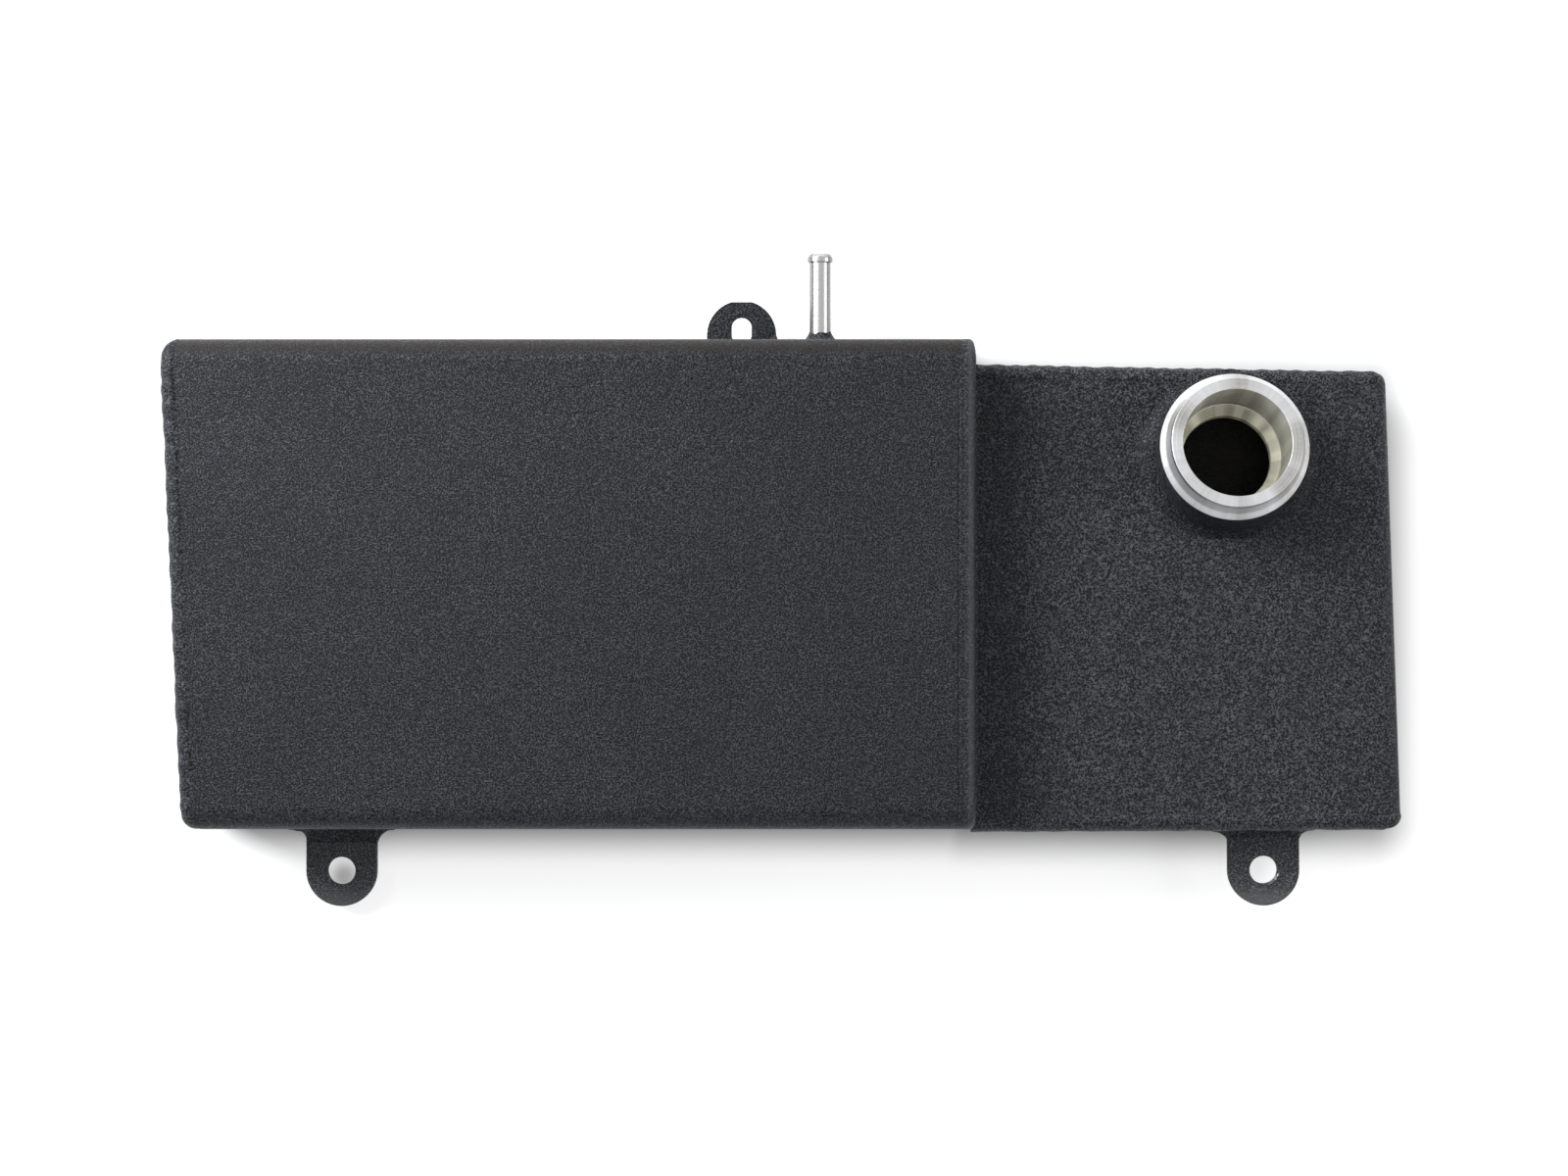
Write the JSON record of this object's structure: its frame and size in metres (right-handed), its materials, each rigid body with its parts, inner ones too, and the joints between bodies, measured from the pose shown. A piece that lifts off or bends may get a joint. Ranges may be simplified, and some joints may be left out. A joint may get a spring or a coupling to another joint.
{
  "type": "coolant expansion tank",
  "caption": "Welded sheet coolant expansion tank with a deep and a shallow chamber, leaning filler neck, vent nipple, outlet boss and mounting tabs.",
  "frame": {"origin": "middle of the main chamber's flat back face, at half its length and half its height", "axes": "+X along the tank towards the side chamber, +Y up the broad face towards the vent nipple, +Z out of the flat back towards the front"},
  "size_m": [0.4564, 0.2459, 0.0736],
  "materials": {
    "coat": "black wrinkle powder coat",
    "bare": "turned",
    "sheet": "mill sheet"
  },
  "bodies": {
    "root": {"main_shell": "coat", "main_back_plate": "coat", "end_plate": "coat", "step_plate": "coat", "surge_baffle": "sheet", "side_cover": "coat", "side_top_plate": "coat", "side_bottom_plate": "coat", "side_back_plate": "coat", "filler_neck": "bare", "vent_nipple": "bare", "outlet_boss": "bare", "left_tab": "coat", "right_tab": "coat", "top_tab": "coat", "end_weld": "coat", "step_weld": "coat", "main_seam_weld": "coat", "side_top_weld": "coat", "side_bottom_weld": "coat", "side_seam_weld": "coat", "side_root_weld": "coat", "neck_weld": "coat", "vent_weld": "coat", "outlet_weld": "coat", "left_tab_weld": "coat", "right_tab_weld": "coat", "top_tab_weld": "coat"}
  },
  "joints": []
}
